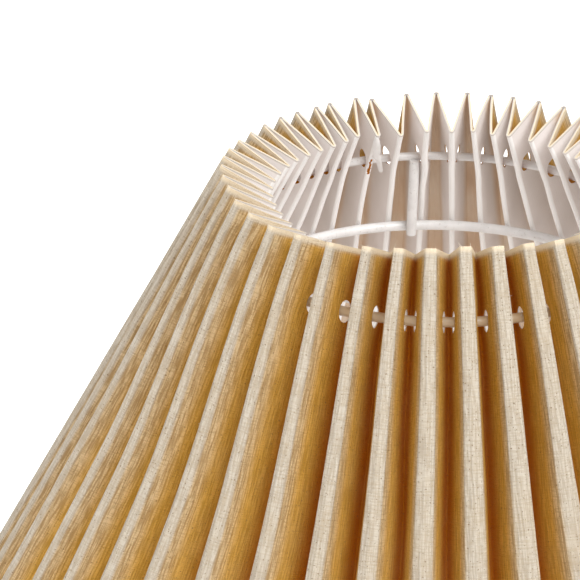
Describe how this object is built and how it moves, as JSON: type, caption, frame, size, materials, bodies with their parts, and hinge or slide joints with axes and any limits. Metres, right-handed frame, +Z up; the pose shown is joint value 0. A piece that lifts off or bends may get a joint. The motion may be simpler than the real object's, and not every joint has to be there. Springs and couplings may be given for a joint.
{
  "type": "pleated lamp shade",
  "caption": "Knife-pleated linen empire lamp shade with white inner film, threaded wire top ring, support ring, struts, arms and round fitter plate.",
  "frame": {"origin": "centre of the lower rim, on the plane the shade stands on", "axes": "+Z up along the shade's axis, from the wide lower rim to the narrow top; -Y is the front"},
  "size_m": [0.3997, 0.3997, 0.2187],
  "materials": {
    "linen": "natural plain-weave linen, raw cut edges",
    "backing_film": "matt white laminating film",
    "tape": "thin matt joining tape",
    "coated_wire": "satin white powder coat on steel wire",
    "coated_plate": "satin white powder coat on steel plate"
  },
  "bodies": {
    "root": {"cover": "linen", "backing": "backing_film", "seam_tape": "tape", "top_ring": "coated_wire", "ring_sleeve": "coated_wire", "support_ring": "coated_wire", "strut_1": "coated_wire", "strut_2": "coated_wire", "strut_3": "coated_wire", "arm_1": "coated_wire", "arm_2": "coated_wire", "arm_3": "coated_wire", "fitter": "coated_plate"}
  },
  "joints": []
}
